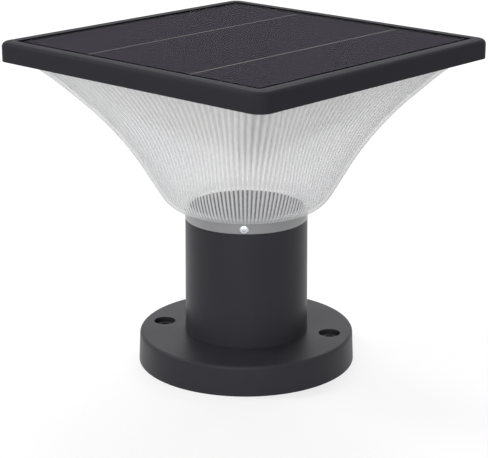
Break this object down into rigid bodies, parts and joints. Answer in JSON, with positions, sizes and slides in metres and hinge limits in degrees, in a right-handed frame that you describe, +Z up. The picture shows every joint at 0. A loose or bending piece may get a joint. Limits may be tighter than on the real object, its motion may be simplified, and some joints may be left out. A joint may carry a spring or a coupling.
{
  "type": "post cap light",
  "caption": "Square solar post cap light with a clear ribbed lens on a short round post and a round bolt-down foot.",
  "frame": {"origin": "centre of the foot's underside", "axes": "+Z up along the post; X and Y along the sides of the square head; the pale lines of the solar panel run along Y"},
  "size_m": [0.25, 0.25, 0.2404],
  "materials": {
    "abs_black": "fine satin moulded texture",
    "abs_white": "satin moulded",
    "rubber": "matt",
    "foam": "matt closed-cell foam",
    "steel": "zinc plated",
    "steel_black": "black oxide",
    "polycarbonate": "clear, polished",
    "panel_resin": "clear, smooth",
    "silicon": "dark coated",
    "glass_fibre_board": "solder-masked board",
    "glass_fibre_board_white": "white solder mask",
    "chip_ceramic": "phosphor coated",
    "chip_black": "moulded epoxy",
    "cell_wrap": "heat-shrink sleeve",
    "nickel_plate": "nickel plated",
    "wire_cover": "flexible insulation"
  },
  "bodies": {
    "base": {"base_flange": "abs_black", "post_gasket": "rubber", "post_tube": "abs_black", "post_cap": "abs_black", "post_cap_screws": "steel_black", "flange_screws": "steel"},
    "head": {"lens": "polycarbonate", "collar_screws": "steel", "top_frame": "abs_black", "lens_gasket": "rubber", "lens_screws": "steel", "panel_glass": "panel_resin", "solar_cells": "silicon", "panel_board": "glass_fibre_board", "panel_adhesive": "rubber", "reflector_plate": "abs_white", "reflector_screws": "steel", "led_board": "glass_fibre_board_white", "led_chips": "chip_ceramic", "led_board_screws": "steel", "battery_box": "abs_white", "battery_box_screws": "steel", "battery_cover": "abs_white", "battery_cover_gasket": "rubber", "battery_cover_screws": "steel", "battery_pad": "foam", "battery_cells": "cell_wrap", "battery_contacts": "nickel_plate", "battery_holder": "abs_black", "holder_screws": "steel", "control_board": "glass_fibre_board", "control_board_screws": "steel", "board_components": "chip_black", "button_bezel": "abs_black", "power_switch": "abs_black", "panel_lead": "wire_cover", "battery_lead": "wire_cover", "led_lead": "wire_cover", "switch_lead": "wire_cover"},
    "power_button": {"power_button": "rubber"}
  },
  "joints": [
    {"name": "head_swivel", "type": "hinge", "parent": "base", "child": "head", "pos_m": [0, 0, 0.1131], "axis": [0, 0, 1], "continuous": true},
    {"name": "power_button_press", "type": "slide", "parent": "head", "child": "power_button", "axis": [0, 0, 1], "range_m": [0, 0.0012], "stiffness_N_per_m": 1200, "springref_m": -0.0005}
  ]
}
